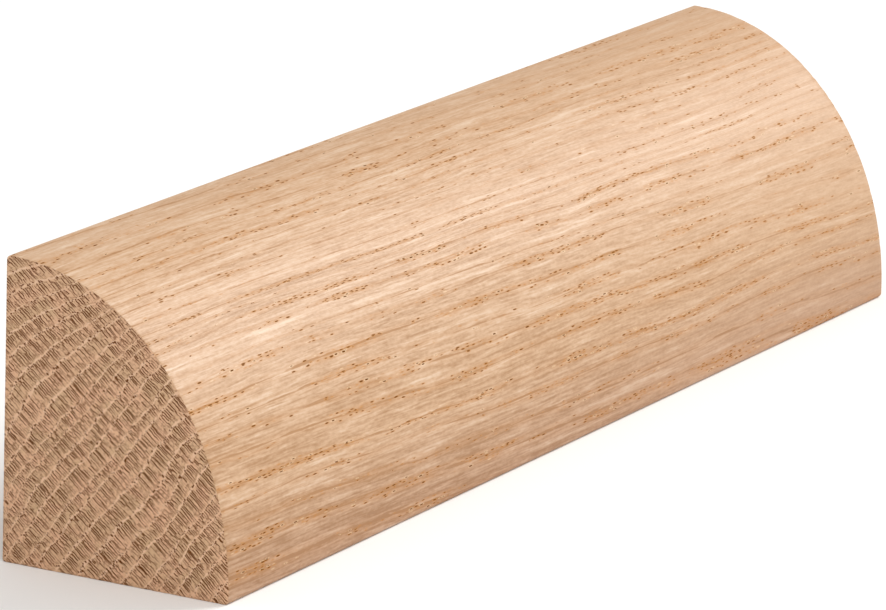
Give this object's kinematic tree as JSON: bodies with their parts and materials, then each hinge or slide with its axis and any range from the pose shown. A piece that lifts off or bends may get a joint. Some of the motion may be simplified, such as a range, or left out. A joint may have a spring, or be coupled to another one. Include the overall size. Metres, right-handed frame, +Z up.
{
  "type": "quarter round moulding",
  "caption": "Short length of solid oak quarter round trim, with a rounded front and two flat backs, that covers the joint between wall and floor.",
  "frame": {"origin": "middle of the floor face's box, on the floor", "axes": "+X along the length, +Y out of the wall face towards the wall, +Z up"},
  "size_m": [0.09, 0.0158, 0.0191],
  "materials": {
    "oak": "sanded, unfinished"
  },
  "bodies": {
    "root": {"quarter_round": "oak"}
  },
  "joints": []
}
